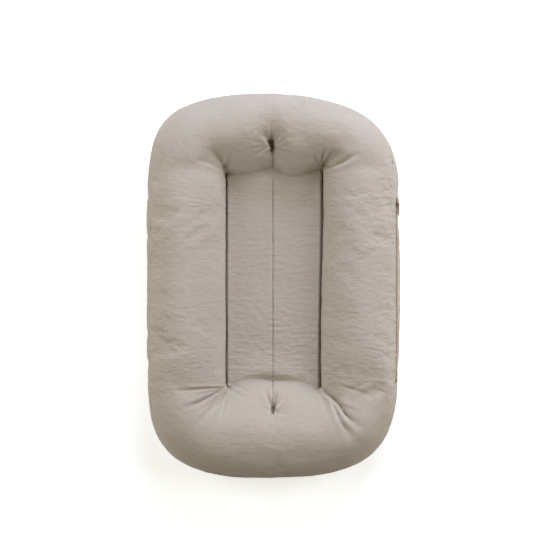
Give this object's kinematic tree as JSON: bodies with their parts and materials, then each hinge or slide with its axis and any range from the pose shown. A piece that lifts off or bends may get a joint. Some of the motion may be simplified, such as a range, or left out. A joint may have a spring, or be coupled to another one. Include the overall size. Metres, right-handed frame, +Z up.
{
  "type": "infant lounger",
  "caption": "Padded muslin infant lounger: plump rolls round a shallow well, a stitched sling with gathered tucks and a side zip whose slider runs and pull swings.",
  "frame": {"origin": "middle of the footprint, on the surface that the lounger rests on", "axes": "+X across the well towards the zip, +Y along the well towards the head end, +Z up"},
  "size_m": [0.483, 0.737, 0.14],
  "materials": {
    "muslin": "crinkled",
    "undercloth": "matt",
    "casecloth": "matt",
    "filling": "fluffy",
    "thread": "matt",
    "tape": "matt",
    "resin": "satin",
    "bronze": "antiqued"
  },
  "bodies": {
    "lounger": {"cover_top": "muslin", "cover_base": "undercloth", "insert_case_top": "casecloth", "insert_case_base": "casecloth", "fibrefill": "filling", "insert_sling": "casecloth", "centre_seam_thread": "thread", "well_seam_thread_right": "thread", "well_seam_thread_left": "thread", "head_tuck_thread": "thread", "foot_tuck_thread": "thread", "zip_tape_upper": "tape", "zip_tape_lower": "tape", "zip_teeth_upper": "resin", "zip_teeth_lower": "resin", "zip_stop_head_upper": "bronze", "zip_stop_head_lower": "bronze", "zip_stop_foot": "bronze"},
    "slider": {"zip_slider": "bronze"},
    "pull": {"zip_pull": "bronze"}
  },
  "joints": [
    {"name": "zip_slide", "type": "slide", "parent": "lounger", "child": "slider", "axis": [0, -1, 0], "range_m": [0, 0.327], "deforming": ["zip_teeth_upper", "zip_teeth_lower"]},
    {"name": "pull_swing", "type": "hinge", "parent": "slider", "child": "pull", "pos_m": [0.23853, 0.1562, 0.09057], "axis": [-0.3938, 0, 0.9192], "range_deg": [0, 165]}
  ]
}
